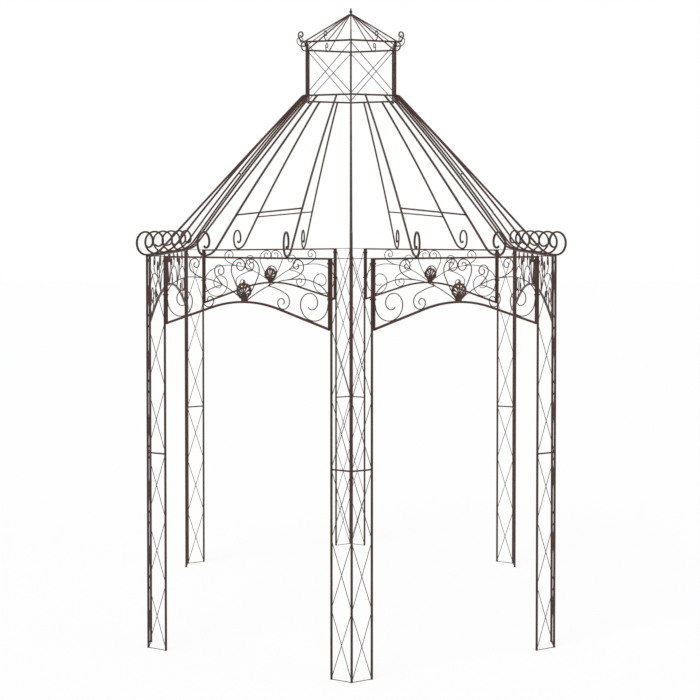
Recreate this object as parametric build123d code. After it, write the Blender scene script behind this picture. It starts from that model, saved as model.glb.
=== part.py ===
from build123d import *
from math import atan2, ceil, cos, degrees, hypot, radians, sin, sqrt, tan
import os

# Open garden pavilion of welded iron, in millimetres.
# The plan is a long hexagon: its long axis lies along Y, +Z is up and the
# origin is on the ground at the middle of the plan.

# Plan, measured between the centres of the corner tubes
half_width = 1138
side_bay = 2340
half_length = 1900

# Curved bars are made of straight runs: none turns or sags by more than this
facet_turn = 45
facet_sag = 7

# Posts: two flat lattice sides that meet at a corner tube
post_height = 2200
post_tube = 13
tube_sides = 8
lattice_width = 125
wire = 4
crosses_per_half = 3
mid_bar = 8

# Arched friezes between the posts
rail_bar = 10
frame_bar = 12
scroll_bar = 5
bolt_gap = 0.3
weld = 0.5
spring_drop = 372
crown_runs = 4
end_arch_rise = 130
end_arch_slope = 17
side_arch_rise = 172
side_arch_slope = 10
end_roots = (0,)
side_roots = (0, 0.46)

# Scrolls of one group: each has a first angle and tangent arcs, given as
# radius and turn. Radii and roots are shares of the way from arch to rail.
# A bay's roots are shares of the way from the crown to the end bar.
stem_root = 0.036
stem_angle = 37
stem_to_fork = ((3.25, -13),)
stem_to_branch = ((1.92, -17),)
stem_rise = ((0.81, 30), (0.19, 53))
stem_curl = ((0.13, 90), (0.09, 90), (0.07, 90))
heart_root = 0.018
heart_angle = 52
heart_rise = ((2.9, 14), (0.34, 24))
heart_curl = ((0.126, 90), (0.117, 90), (0.077, 90))
sprig_angle = 40
sprig_arcs = ((1.35, 12), (0.216, 38), (0.14, 90), (0.14, 90), (0.09, 90), (0.08, 90))
leaf_angle = -8
leaf_rise = ((1.53, -22), (0.225, -60), (0.203, -90))
leaf_curl = ((0.162, -90), (0.113, -90), (0.09, -90))

# The branch that runs on from a stem: how far its arcs take it towards its
# end, the shares of their radii, and how far under the rail it ends
branch_share = 0.775
branch_arcs = ((1, -6), (0.3125, -28))
branch_fall = 200

# Large scroll in each corner of a frieze, as shares of its first radius
corner_radius = 87
corner_rise = ((1, -90),)
corner_curl = ((0.98, -90), (0.68, -90), (0.56, -90), (0.43, -90), (0.26, -60))

# Palmettes cast at the crowns of the arches, bent outwards in the middle
palmette_height = 111
palmette_width = 86
palmette_lap = 3
palmette_thickness = 5
palmette_bulge = 14
palmette_foot = 54
palmette_neck = 34

# Roof
roof_rise = 960
rafter_bar = 10
end_bay_rafters = (0.30, 0.70)
side_bay_rafters = (0.20, 0.40, 0.60, 0.80)
shoulder_flat = 12
shoulder_radius = 45
flare_radius = 170
eave_seat = 12
hip_bow = 1.0
mid_bow = 7.0
curl_radius = 66
curl_arcs = ((1, 90), (0.93, 90), (0.81, 90), (0.49, 90), (0.3, 50))
purlin_bar = 7
end_purlin_rise = 252
side_purlin_rise = 490

# Lantern
lantern_half_width = 270
lantern_side = 510
lantern_half_length = 362
lantern_bar = 10
lantern_rise = 326
post_tail = 14
lantern_wire = 4

# Lantern roof
cap_rise = 194
cap_bar = 8
cap_flat = 34
cap_shoulder = 25
cap_flare = 70
cap_seat = 8
cap_bow = 1.0
cap_curl_radius = 33
cap_curl = ((1, 90), (0.91, 90), (0.74, 90), (0.47, 80))
boss_radius = 22
boss_height = 18
boss_dome = 3
finial_sides = 8
finial_height = 33
finial_bulb = 10
finial_stem = 5
finial_tip = 3

lower_ring_height = post_height + roof_rise
upper_ring_height = lower_ring_height + lantern_rise
apex_height = upper_ring_height + cap_rise


def plan_corners(width, side, length):
    """Corners of the hexagon, anticlockwise from the front one."""
    return [
        (0, -length),
        (width, -side / 2),
        (width, side / 2),
        (0, length),
        (-width, side / 2),
        (-width, -side / 2),
    ]


corner_names = ["front", "front_right", "back_right", "back", "back_left", "front_left"]
bay_names = ["front_right", "right_side", "back_right", "back_left", "left_side", "front_left"]
corners = plan_corners(half_width, side_bay, half_length)
lantern_corners = plan_corners(lantern_half_width, lantern_side, lantern_half_length)


def is_side(bay):
    """True for the two long bays."""
    return bay.endswith("side")


def length_between(a, b):
    return hypot(b[0] - a[0], b[1] - a[1])


def heading(a, b):
    """Angle in degrees of the way from a to b in plan."""
    return degrees(atan2(b[1] - a[1], b[0] - a[0]))


def along(a, b, share):
    """The point that lies the given share of the way from a to b."""
    return (a[0] + (b[0] - a[0]) * share, a[1] + (b[1] - a[1]) * share)


def bay_ends(points, index):
    """The two corners of a bay."""
    return points[index], points[(index + 1) % 6]


def bisector(points, index):
    """Angle in degrees that points out of the plan at a corner."""
    before = heading(points[index - 1], points[index])
    after = heading(points[index], points[(index + 1) % 6])
    mean_x = cos(radians(before)) + cos(radians(after))
    mean_y = sin(radians(before)) + sin(radians(after))
    return degrees(atan2(-mean_x, mean_y))


def in_bay(a, b):
    """Places a panel drawn about X = 0 on the bay from a to b."""
    middle = along(a, b, 0.5)
    return Location((middle[0], middle[1], 0), (0, 0, heading(a, b)))


def from_point(a, b):
    """Places a piece drawn from X = 0 outwards on the way from a to b."""
    return Location((a[0], a[1], 0), (0, 0, heading(a, b)))


def upright(point, angle, size, bottom, top):
    """A square bar that stands at a plan point, turned by an angle."""
    bar = Box(size, size, top - bottom, align=(Align.CENTER, Align.CENTER, Align.MIN))
    return Location((point[0], point[1], bottom), (0, 0, angle)) * bar


def tube(point, angle, bottom, top):
    """A round post tube of a few flat sides, turned by an angle."""
    section = RegularPolygon(post_tube / 2, tube_sides, major_radius=False, rotation=180 / tube_sides)
    return Location((point[0], point[1], bottom), (0, 0, angle)) * extrude(section, top - bottom)


def flat_bar(start, end, size):
    """A square bar between two points of a panel, which lies in X and Z."""
    run = end[0] - start[0]
    rise = end[1] - start[1]
    middle = ((start[0] + end[0]) / 2, 0, (start[1] + end[1]) / 2)
    return Location(middle, (0, -degrees(atan2(rise, run)), 0)) * Box(hypot(run, rise), size, size)


def bent_bar(points, size):
    """A square bar of straight runs between points of the XZ plane."""
    path = Polyline(*[(x, 0, z) for x, z in points])
    section = Plane(path @ 0, x_dir=(0, 1, 0), z_dir=path % 0) * Rectangle(size, size)
    return sweep(section, path=path, transition=Transition.RIGHT)


def advance(angle, arcs):
    """How far tangent arcs go in X and Z, and the angle they end at."""
    run = rise = 0
    for radius, turn in arcs:
        side = 1 if turn > 0 else -1
        first, last = radians(angle), radians(angle + turn)
        run += side * radius * (sin(last) - sin(first))
        rise += side * radius * (cos(first) - cos(last))
        angle += turn
    return run, rise, angle


def arc_points(start, angle, arcs, unit):
    """Points along tangent arcs whose radii are shares of a unit."""
    points = [start]
    for share, turn in arcs:
        radius = share * unit
        even = abs(turn) / facet_turn
        sag = radians(abs(turn)) * sqrt(radius / (8 * facet_sag))
        runs = max(1, round(even), ceil(sag))
        for _ in range(runs):
            run, rise, angle = advance(angle, ((radius, turn / runs),))
            points.append((points[-1][0] + run, points[-1][1] + rise))
    return points


def arc_to(start, angle, end):
    """Radius and turn of the arc that leaves start at an angle and meets end."""
    turn = 2 * (heading(start, end) - angle)
    return length_between(start, end) / (2 * abs(sin(radians(turn / 2)))), turn


def post_lattice(span):
    """One flat side of a post, from the corner tube's centre at X = 0."""
    cell = post_height / (2 * crosses_per_half)
    levels = (
        (wire / 2, wire),
        (post_height / 2, mid_bar),
        (post_height - wire / 2, wire),
    )
    pieces = [flat_bar((0, height), (span, height), size) for height, size in levels]
    for row in range(2 * crosses_per_half):
        low = row * cell + wire
        high = (row + 1) * cell - wire
        pieces.append(flat_bar((0, low), (span, high), wire))
        pieces.append(flat_bar((0, high), (span, low), wire))
    return tube((span, 0), 0, 0, post_height) + pieces


class Arch:
    """Centre line of a frieze's lower bar: a crown in short runs, two legs."""

    def __init__(self, half, rise, slope):
        turn = radians(slope)
        radius = (half * tan(turn) - rise) / (tan(turn) * sin(turn) - 1 + cos(turn))
        self.half = half
        self.slope = slope
        self.crown = post_height - spring_drop + rise
        self.spring = post_height - spring_drop
        self.points = []
        for step in range(crown_runs + 1):
            share = turn * step / crown_runs
            self.points.append((radius * sin(share), self.crown - radius * (1 - cos(share))))
        self.points.append((half, self.spring))

    def height(self, x, above=0.0):
        """Height at x of the line that runs a given way above the arch."""
        runs = zip(self.points, self.points[1:])
        start, end = next(run for run in runs if x <= run[1][0])
        slope = (end[1] - start[1]) / (end[0] - start[0])
        return start[1] + (x - start[0]) * slope + above * sqrt(1 + slope**2)

    def both_sides(self):
        """The points from the left end to the right one."""
        return [(-x, z) for x, z in self.points[:0:-1]] + self.points


def stem_top():
    """The quarter turn that takes a stem from its rise up to the rail."""
    arcs = stem_to_fork + stem_to_branch + stem_rise
    return (1 - advance(stem_angle, arcs)[1], 90)


def heart_top(unit):
    """The two quarter turns that take a heart's side over to its twin."""
    run, rise, _ = advance(heart_angle, heart_rise)
    over = 1 - rise
    touch = (scroll_bar - weld) / 2 / unit
    return ((over, 90), (heart_root + run - over - touch, 90))


def seated_leaf(arch, fork, unit):
    """The unit that brings the foot of a leaf's curl down on to the arch."""
    run, rise, _ = advance(leaf_angle, leaf_rise)
    near = (frame_bar + scroll_bar) / 2 - weld
    low, high = 0, 3 * unit
    for _ in range(40):
        middle = (low + high) / 2
        if fork[1] + rise * middle > arch.height(fork[0] + run * middle, near):
            low = middle
        else:
            high = middle
    return middle


def branch_points(start, angle, reach):
    """The long branch from a stem over to the point it reaches."""
    run, _, last_angle = advance(angle, branch_arcs)
    unit = branch_share * (reach[0] - start[0]) / run
    points = arc_points(start, angle, branch_arcs, unit)
    last_arc = arc_to(points[-1], last_angle, reach)
    return points[:-1] + arc_points(points[-1], last_angle, (last_arc,), 1)


def scroll_group(arch, root, reach):
    """The scrolls that spring from one root on the arch, towards +X."""
    floor = arch.height(root, frame_bar / 2 - weld)
    unit = post_height - rail_bar - scroll_bar / 2 + weld - floor
    lower = arc_points((root + stem_root * unit, floor), stem_angle, stem_to_fork, unit)
    fork = lower[-1]
    fork_angle = advance(stem_angle, stem_to_fork)[2]
    upper = arc_points(fork, fork_angle, stem_to_branch, unit)
    branch = upper[-1]
    branch_angle = advance(fork_angle, stem_to_branch)[2]
    curl = arc_points(branch, branch_angle, stem_rise + (stem_top(),) + stem_curl, unit)
    heart = heart_rise + heart_top(unit) + heart_curl
    return [
        lower + upper[1:] + curl[1:],
        arc_points((root + heart_root * unit, floor), heart_angle, heart, unit),
        arc_points(fork, sprig_angle, sprig_arcs, unit),
        arc_points(fork, leaf_angle, leaf_rise + leaf_curl, seated_leaf(arch, fork, unit)),
        branch_points(branch, branch_angle, reach),
    ]


def corner_scroll(arch, edge):
    """The large scroll that runs down the end bar and rests on the arch."""
    (radius, turn), *rest = corner_curl
    down_to_arch = corner_rise + ((radius, -arch.slope),)
    run, rise, _ = advance(-90, down_to_arch)
    start = edge - scroll_bar / 2 + weld
    near = (frame_bar + scroll_bar) / 2 - weld
    top = arch.height(start + run * corner_radius, near) - rise * corner_radius
    arcs = (*down_to_arch, (radius, turn + arch.slope), *rest)
    return arc_points((start, top), -90, arcs, corner_radius)


def half_scrolls(arch, edge, roots):
    """All the scrolls to the right of a frieze's middle."""
    reaches = [(edge * share, arch.height(edge * share)) for share in roots[1:]]
    reaches.append((edge + weld, post_height - branch_fall))
    paths = [corner_scroll(arch, edge)]
    for share, reach in zip(roots, reaches):
        paths += scroll_group(arch, edge * share, reach)
    return paths


def bay_arch(bay, span):
    """The arch of a bay, and where its groups of scrolls have their roots."""
    half = span / 2 - lattice_width - post_tube / 2 - bolt_gap - frame_bar / 2
    if is_side(bay):
        return Arch(half, side_arch_rise, side_arch_slope), side_roots
    return Arch(half, end_arch_rise, end_arch_slope), end_roots


def frieze(arch, roots):
    """Framed panel under the eave: rail, end bars, arch and scrolls."""
    edge = arch.half - frame_bar / 2
    outer = arch.half + frame_bar / 2
    rail = post_height - rail_bar / 2
    pieces = [bent_bar(arch.both_sides(), frame_bar)]
    for side in (-1, 1):
        low = (side * arch.half, arch.spring - frame_bar / 2)
        pieces.append(flat_bar(low, (side * arch.half, post_height), frame_bar))
    for path in half_scrolls(arch, edge, roots):
        scroll = bent_bar(path, scroll_bar)
        pieces += [scroll, mirror(scroll, about=Plane.YZ)]
    return flat_bar((-outer, rail), (outer, rail), rail_bar) + pieces


def palmette(arch):
    """Pointed fan on a flared foot, folded outwards, on the arch's face."""
    half = palmette_width / 2
    height = palmette_height
    right = [
        (palmette_foot / 2, 0),
        (palmette_neck / 2, height * 0.13),
        (half * 0.82, height * 0.34),
        (half, height * 0.6),
        (half * 0.82, height * 0.78),
        (half * 0.45, height * 0.88),
    ]
    left = [(-x, z) for x, z in reversed(right)]
    fan = make_face(Polyline(*right, (0, height), *left, close=True))
    face = frame_bar / 2
    front = face + palmette_bulge
    rim = face + palmette_thickness
    ridge = palmette_neck / 2
    fold = Polygon(
        (-half, -face),
        (-half, -rim),
        (-ridge, -front),
        (ridge, -front),
        (half, -rim),
        (half, -face),
        align=None,
    )
    solid = extrude(Plane.XZ.offset(face) * fan, palmette_bulge) & extrude(fold, height)
    return Pos(0, 0, arch.crown - palmette_lap) * solid


def slope_angles(run, drop, shoulder, flare, bow):
    """Mean angle below level of a bowed rod, and the length of its chord."""
    angle = atan2(drop, run)
    half = radians(bow) / 2
    for _ in range(30):
        chord_run = run - shoulder * sin(angle - half) - flare * sin(angle + half)
        chord_drop = drop - shoulder * (1 - cos(angle - half)) - flare * (1 - cos(angle + half))
        angle = atan2(chord_drop, chord_run)
    return degrees(angle), hypot(chord_run, chord_drop)


class RoofRod:
    """A roof rod in X and Z: level, down a slope, level on its seat, curled."""

    def __init__(self, run, top, foot, size, flat, shoulder, flare, bow, seat):
        self.size = size
        sloped = run - flat - seat / 2
        angle, chord = slope_angles(sloped, top - foot, shoulder, flare, bow)
        bow_radius = chord / (2 * sin(radians(bow) / 2))
        arcs = ((shoulder, bow / 2 - angle), (bow_radius, -bow), (flare, angle + bow / 2))
        self.points = [(0, top)] + arc_points((flat, top), 0, arcs, 1)
        self.seat_end = (run + seat / 2, foot)

    def solid(self, radius, curl):
        """The rod with its foot curled up and inwards."""
        foot = arc_points(self.seat_end, 0, curl, radius)
        return bent_bar(self.points + foot, self.size)

    def reach(self, height):
        """How far out the rod's centre is where it comes down to a height."""
        runs = zip(self.points, self.points[1:])
        start, end = next(run for run in runs if run[1][1] <= height)
        return start[0] + (end[0] - start[0]) * (start[1] - height) / (start[1] - end[1])


def rafter(inner, outer, bow):
    """The shape of a main rafter between two plan points."""
    return RoofRod(
        run=length_between(inner, outer),
        top=lower_ring_height,
        foot=post_height + rafter_bar / 2,
        size=rafter_bar,
        flat=shoulder_flat,
        shoulder=shoulder_radius,
        flare=flare_radius,
        bow=bow,
        seat=eave_seat,
    )


def cap_rod(outer):
    """A rod of the lantern's roof, from the boss out over the ring."""
    peak = (0, 0)
    rod = RoofRod(
        run=length_between(peak, outer),
        top=apex_height,
        foot=upper_ring_height + (lantern_bar + cap_bar) / 2,
        size=cap_bar,
        flat=cap_flat,
        shoulder=cap_shoulder,
        flare=cap_flare,
        bow=cap_bow,
        seat=cap_seat,
    )
    return from_point(peak, outer) * rod.solid(cap_curl_radius, cap_curl)


def ring_bars(height, posts):
    """Six bars between the lantern's posts at one height."""
    bars = []
    for index in range(6):
        a, b = bay_ends(lantern_corners, index)
        half = length_between(a, b) / 2
        bar = in_bay(a, b) * flat_bar((-half, height), (half, height), lantern_bar)
        bars.append(bar - posts[index] - posts[(index + 1) % 6])
    return bars


def wire_cross(index, posts):
    """The two crossed wires of one side of the lantern."""
    a, b = bay_ends(lantern_corners, index)
    half = length_between(a, b) / 2
    low = lower_ring_height + lantern_bar / 2 + lantern_wire
    high = upper_ring_height - lantern_bar / 2 - lantern_wire
    rising = flat_bar((-half, low), (half, high), lantern_wire)
    falling = flat_bar((-half, high), (half, low), lantern_wire)
    return in_bay(a, b) * (rising + falling) - posts[index] - posts[(index + 1) % 6]


def purlin(rods, height):
    """A bar between two rafters of a bay, and the rods that it meets."""
    ends = []
    for inner, outer, rod in rods:
        share = rod.reach(height) / length_between(inner, outer)
        ends.append(along(inner, outer, share))
    half = length_between(*ends) / 2
    return in_bay(*ends) * flat_bar((-half, height), (half, height), purlin_bar)


def finial():
    """Round boss at the peak with a bulb and tip, of a few flat sides."""
    boss_top = apex_height + boss_height / 2
    levels = (
        (apex_height - boss_height / 2, boss_radius),
        (boss_top - boss_dome, boss_radius),
        (boss_top, finial_stem),
        (boss_top + finial_height * 0.35, finial_bulb),
        (boss_top + finial_height * 0.65, finial_stem),
        (boss_top + finial_height, finial_tip),
    )
    rings = [Pos(0, 0, height) * RegularPolygon(radius, finial_sides) for height, radius in levels]
    return loft(rings, ruled=True)


parts = {}

# Posts
lattice = post_lattice(lattice_width)
for index, name in enumerate(corner_names):
    angle = bisector(corners, index)
    parts[f"{name}_post_corner_tube"] = tube(corners[index], angle, 0, post_height)


def lattice_name(post, bay):
    """What the side of a post is called that stands in a bay."""
    if is_side(bay):
        return f"{post}_post_side_lattice"
    if post in ("front", "back"):
        return f"{post}_post_right_lattice" if "right" in bay else f"{post}_post_left_lattice"
    return f"{post}_post_end_lattice"


for index, bay in enumerate(bay_names):
    a, b = bay_ends(corners, index)
    near, far = corner_names[index], corner_names[(index + 1) % 6]
    for post, start, end in ((near, a, b), (far, b, a)):
        tube = parts[f"{post}_post_corner_tube"]
        parts[lattice_name(post, bay)] = from_point(start, end) * lattice - tube

# Friezes, with a palmette on each
friezes = {}
palmettes = []
for index, bay in enumerate(bay_names):
    a, b = bay_ends(corners, index)
    if is_side(bay) not in friezes:
        arch, roots = bay_arch(bay, length_between(a, b))
        friezes[is_side(bay)] = (frieze(arch, roots), palmette(arch))
    panel, cast = friezes[is_side(bay)]
    parts[f"{bay}_frieze"] = in_bay(a, b) * panel
    palmettes.append(in_bay(a, b) * cast)
parts["arch_palmettes"] = Compound(children=palmettes)

# Lantern frame
lantern_posts = []
for index in range(6):
    angle = heading(lantern_corners[index], corners[index])
    bottom = lower_ring_height - post_tail
    top = upper_ring_height + lantern_bar / 2
    lantern_posts.append(upright(lantern_corners[index], angle, lantern_bar, bottom, top))
lower_ring = ring_bars(lower_ring_height, lantern_posts)
upper_ring = ring_bars(upper_ring_height, lantern_posts)
wire_crosses = [wire_cross(index, lantern_posts) for index in range(6)]
parts["lantern_posts"] = Compound(children=lantern_posts)
parts["lantern_lower_ring"] = Compound(children=lower_ring)
parts["lantern_upper_ring"] = Compound(children=upper_ring)
parts["lantern_wire_crosses"] = Compound(children=wire_crosses)

# Rafters and purlins
for index, name in enumerate(corner_names):
    inner, outer = lantern_corners[index], corners[index]
    rod = rafter(inner, outer, hip_bow).solid(curl_radius, curl_arcs)
    parts[f"{name}_hip_rafter"] = from_point(inner, outer) * rod - lantern_posts[index]

purlins = []
for index, bay in enumerate(bay_names):
    shares = side_bay_rafters if is_side(bay) else end_bay_rafters
    rise = side_purlin_rise if is_side(bay) else end_purlin_rise
    rods = []
    solids = []
    for share in shares:
        inner = along(*bay_ends(lantern_corners, index), share)
        outer = along(*bay_ends(corners, index), share)
        rod = rafter(inner, outer, mid_bow)
        rods.append((inner, outer, rod))
        solid = from_point(inner, outer) * rod.solid(curl_radius, curl_arcs)
        solids.append(solid - lower_ring[index])
    middle = len(shares) // 2
    bar = purlin(rods[middle - 1 : middle + 1], post_height + rise)
    purlins.append(bar - solids[middle - 1] - solids[middle])
    parts[f"{bay}_rafters"] = Compound(children=solids)
parts["roof_purlins"] = Compound(children=purlins)

# Lantern roof
peak_finial = finial()
hip_rods = [cap_rod(corner) - peak_finial for corner in lantern_corners]
middles = [along(*bay_ends(lantern_corners, index), 0.5) for index in range(6)]
middle_rods = [cap_rod(middle) - peak_finial for middle in middles]
parts["lantern_hip_rods"] = Compound(children=hip_rods)
parts["lantern_middle_rods"] = Compound(children=middle_rods)
parts["peak_finial"] = peak_finial

os.makedirs("parts", exist_ok=True)
for name, shape in parts.items():
    export_step(shape, f"parts/{name}.step")
print(len(parts), "nodes")
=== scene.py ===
from math import atan2, ceil, cos, degrees, hypot, pi, radians, sin, sqrt, tan

import bpy
import numpy as np
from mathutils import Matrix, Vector


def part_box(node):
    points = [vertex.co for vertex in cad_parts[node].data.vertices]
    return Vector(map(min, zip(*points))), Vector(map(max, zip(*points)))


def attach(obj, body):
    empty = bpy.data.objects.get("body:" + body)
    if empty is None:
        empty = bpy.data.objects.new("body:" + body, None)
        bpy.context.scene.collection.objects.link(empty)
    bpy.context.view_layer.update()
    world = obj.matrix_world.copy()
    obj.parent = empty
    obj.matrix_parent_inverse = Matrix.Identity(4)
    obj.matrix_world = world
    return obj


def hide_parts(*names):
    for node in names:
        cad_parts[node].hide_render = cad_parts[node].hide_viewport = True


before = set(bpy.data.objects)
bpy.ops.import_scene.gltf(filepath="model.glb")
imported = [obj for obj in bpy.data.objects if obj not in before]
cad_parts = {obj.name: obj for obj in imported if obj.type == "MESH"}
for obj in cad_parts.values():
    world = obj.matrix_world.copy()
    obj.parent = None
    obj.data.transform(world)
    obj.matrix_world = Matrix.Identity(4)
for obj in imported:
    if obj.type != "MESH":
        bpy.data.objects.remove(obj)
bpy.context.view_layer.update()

# Open garden pavilion of welded iron, in metres. Bars, scrolls and tubes are
# drawn here as the smooth forms that the plain solids stand for. The arches of
# the long bays, the purlins of the short bays and the roof of the lantern lie
# a little closer to the photograph than the solids do.
rng = np.random.default_rng(7)
up = np.array((0.0, 0.0, 1.0))

# Plan
corner_names = ["front", "front_right", "back_right", "back", "back_left", "front_left"]
bay_names = ["front_right", "right_side", "back_right", "back_left", "left_side", "front_left"]

# Posts
post_tube = 0.013
lattice_width = 0.125
wire = 0.004
crosses_per_half = 3
mid_bar = 0.008

# The wires of a cross lie to either side of their plane by their thickness
# over this, so that they press a little into each other
cross_press = 2.4

# Friezes. Bars that are welded to each other overlap by the weld.
rail_bar = 0.010
frame_bar = 0.012
scroll_bar = 0.005
bolt_gap = 0.0003
weld = 0.0005
spring_drop = 0.372
end_arch_rise = 0.130
end_arch_slope = 17
side_arch_rise = 0.172
side_arch_slope = 16
end_roots = (0,)
side_roots = (0, 0.46)

# Bolts of the friezes: their places below the rail, and their outlines as the
# way along the bolt and a share of its width
bolt_drops = (0.030, 0.215)
bolt_width = 0.011
bolt_head = ((0, 1.25), (0.0009, 1.25), (0.001, 0.98), (0.0046, 1), (0.0054, 0.82), (0.0056, 0.3))
bolt_nut = ((-0.001, 0.95), (0.004, 1), (0.0048, 0.8), (0.0064, 0.55), (0.0078, 0.42))

# Scrolls of one group: each has a first angle and tangent arcs, given as
# radius and turn. Radii and roots are shares of the way from arch to rail.
stem_root = 0.036
stem_angle = 37
stem_to_fork = ((3.25, -13),)
stem_to_branch = ((1.92, -17),)
stem_rise = ((0.81, 30), (0.19, 53))
stem_curl = ((0.13, 90), (0.09, 90), (0.068, 90), (0.05, 70))
heart_root = 0.018
heart_angle = 52
heart_rise = ((2.9, 14), (0.34, 24))
heart_curl = ((0.126, 90), (0.117, 90), (0.077, 90), (0.05, 80))
sprig_angle = 40
sprig_arcs = ((1.35, 12), (0.216, 38), (0.14, 90), (0.14, 90), (0.09, 90), (0.08, 90), (0.054, 70))
leaf_angle = -8
leaf_rise = ((1.53, -22), (0.225, -60), (0.203, -90))
leaf_curl = ((0.162, -90), (0.113, -90), (0.09, -90), (0.058, -70))
branch_share = 0.775
branch_arcs = ((1, -6), (0.3125, -28))
branch_fall = 0.200
corner_radius = 0.087
corner_rise = ((1, -90),)
corner_curl = ((0.98, -90), (0.68, -90), (0.56, -90), (0.43, -90), (0.26, -60))

# Palmettes at the crowns of the arches. Angles are degrees from upright: the
# ribs fill the spread, and the rim wraps on past them. Every "proud" is how far
# a form stands out from the face of the arch.
palmette_lap = 0.009
fan_centre = 0.043
fan_ribs = 7
fan_spread = 81
fan_wrap = 112
fan_reach = 0.0615
fan_narrowing = 0.023
fan_roundness = 2.3
fan_bulge = 0.008
bulge_start = 0.15
bulge_run = 0.75
scallop_height = 0.0050
rim_width = 0.0125
rim_depth = 0.0065
rim_proud = 0.006
rim_steps = 107
rim_end = 0.55
rim_taper = 22
rib_start = 0.008
rib_share = 0.26
rib_margin = 0.0006
rib_stop = 0.4
rib_ridge = 0.0024
rib_depth = 0.0025
rib_proud = 0.005
crest_widths = (0.0040, 0.0062, 0.0068, 0.0052, 0.0036, 0.0040, 0.0046, 0.0034, 0.0010)
crest_step = 0.0026
crest_overlap = 0.006
crest_proud = 0.0075
crest_flatness = 0.7
foot_proud = 0.0065
foot_flatness = 0.38

# Outline of a palmette's foot, as heights and half widths
foot_outline = (
    (0, 0.0250), (0.003, 0.0262), (0.006, 0.0225), (0.010, 0.0185), (0.014, 0.0172),
    (0.017, 0.0200), (0.020, 0.0212), (0.023, 0.0185), (0.027, 0.0165), (0.033, 0.0185),
    (0.039, 0.0200), (0.045, 0.0180), (0.050, 0.0120), (0.053, 0.0040),
)

# The small leaves of a palmette's collar: where one starts, how far it reaches
# out, how it rises and falls again, and how wide it is on the way
collar_start = (0.010, 0.024)
collar_reach = 0.021
collar_rise = 0.013
collar_fall = 0.014
collar_proud = 0.0085
collar_flatness = 0.5
collar_widths = (0.0045, 0.0060, 0.0066, 0.0062, 0.0054, 0.0042, 0.0026, 0.0008)

# Roof
rafter_bar = 0.010
end_bay_rafters = (0.30, 0.70)
side_bay_rafters = (0.20, 0.40, 0.60, 0.80)
shoulder_flat = 0.012
shoulder_radius = 0.045
flare_radius = 0.170
eave_seat = 0.012
hip_bow = 1.0
mid_bow = 7.0
curl_radius = 0.066
curl_arcs = ((1, 90), (0.93, 90), (0.81, 90), (0.49, 90), (0.3, 50))
purlin_bar = 0.0085
end_purlin_rise = 0.245
end_purlin_tilt = 0.018
side_purlin_rise = 0.490

# Lantern. The rods of its roof pass over the ring, dip and curl up outside it.
lantern_half_width = 0.270
lantern_side = 0.510
lantern_half_length = 0.362
lantern_bar = 0.010
lantern_wire = 0.0047
cap_rise = 0.194
cap_bar = 0.0072
cap_middle_bar = 0.0052
cap_flat = 0.012
cap_shoulder = 0.014
cap_flare = 0.055
cap_bow = 1.0
cap_inset = 0.005
cap_overhang = 0.030
cap_dip = 0.0085
cap_curl_radius = 0.036
cap_curl = ((1, 90), (0.56, 90), (0.45, 90), (0.33, 90), (0.22, 60))
boss_radius = 0.019
boss_below = 0.008
boss_above = 0.005
finial_height = 0.037
finial_ball = 0.0098

# Ends of bars: a small chamfer, or a rounded tip as shares of the bar's size
bar_chamfer = 0.0006
scroll_tip = ((0.25, 0.94), (0.5, 0.8), (0.7, 0.5))

# Radii of the weld beads, and how uneven they are
bar_bead = 0.0024
wire_bead = 0.0023
cross_bead = 0.0022
frame_bead = 0.0028
scroll_bead = 0.0023
heart_bead = 0.0034
rafter_bead = 0.0026
cap_bead = 0.0023
ring_bead = 0.003
bead_lumps = (0.86, 1.12)

# A direction that no bar runs in, which turns the beads
bead_skew = (0.31, 0.54, 0.78)

# Degrees between two faces from which their edge is drawn sharp
sharp_from = 40

# Heights and corners read from the frame
post_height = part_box("front_post_corner_tube")[1].z
lower_ring_height = sum(corner.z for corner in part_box("lantern_lower_ring")) / 2
upper_ring_height = sum(corner.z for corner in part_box("lantern_upper_ring")) / 2
apex_height = upper_ring_height + cap_rise


def box_centre(node):
    low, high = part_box(node)
    middle = (low + high) / 2
    return (middle.x, middle.y)


corners = [box_centre(f"{name}_post_corner_tube") for name in corner_names]
lantern_corners = [
    (0, -lantern_half_length),
    (lantern_half_width, -lantern_side / 2),
    (lantern_half_width, lantern_side / 2),
    (0, lantern_half_length),
    (-lantern_half_width, lantern_side / 2),
    (-lantern_half_width, -lantern_side / 2),
]


def is_side(bay):
    """True for the two long bays."""
    return bay.endswith("side")


def bay_ends(points, index):
    """The corners, or what is listed for them, at the two ends of a bay."""
    return points[index], points[(index + 1) % len(points)]


def length_between(a, b):
    return hypot(b[0] - a[0], b[1] - a[1])


def along(a, b, share):
    """The point that lies the given share of the way from a to b."""
    return (a[0] + (b[0] - a[0]) * share, a[1] + (b[1] - a[1]) * share)


class Panel:
    """An upright plane: x runs level in a plan direction from an origin."""

    def __init__(self, origin, towards):
        run = np.array((towards[0] - origin[0], towards[1] - origin[1], 0.0))
        self.origin = np.array((origin[0], origin[1], 0.0))
        self.run = run / np.linalg.norm(run)
        self.inward = np.cross(up, self.run)

    def point(self, x, z, depth=0.0):
        """A point of the panel, moved inwards by a depth."""
        return self.origin + self.run * x + self.inward * depth + up * z

    def path(self, points):
        return [self.point(x, z) for x, z in points]


def bay_panel(points, index):
    """The panel of a bay, with x from its middle."""
    a, b = bay_ends(points, index)
    return Panel(along(a, b, 0.5), b)


# Sections of bars, as offsets across the path and out of its plane
def round_section(diameter, sides):
    angles = 2 * pi * (np.arange(sides) + 0.5) / sides
    return np.stack([np.cos(angles), np.sin(angles)], axis=1) * diameter / 2


def oval_section(flatness, sides):
    """An oval of half width 1, to be scaled along its path."""
    return round_section(2, sides) * np.array((1, flatness))


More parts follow.
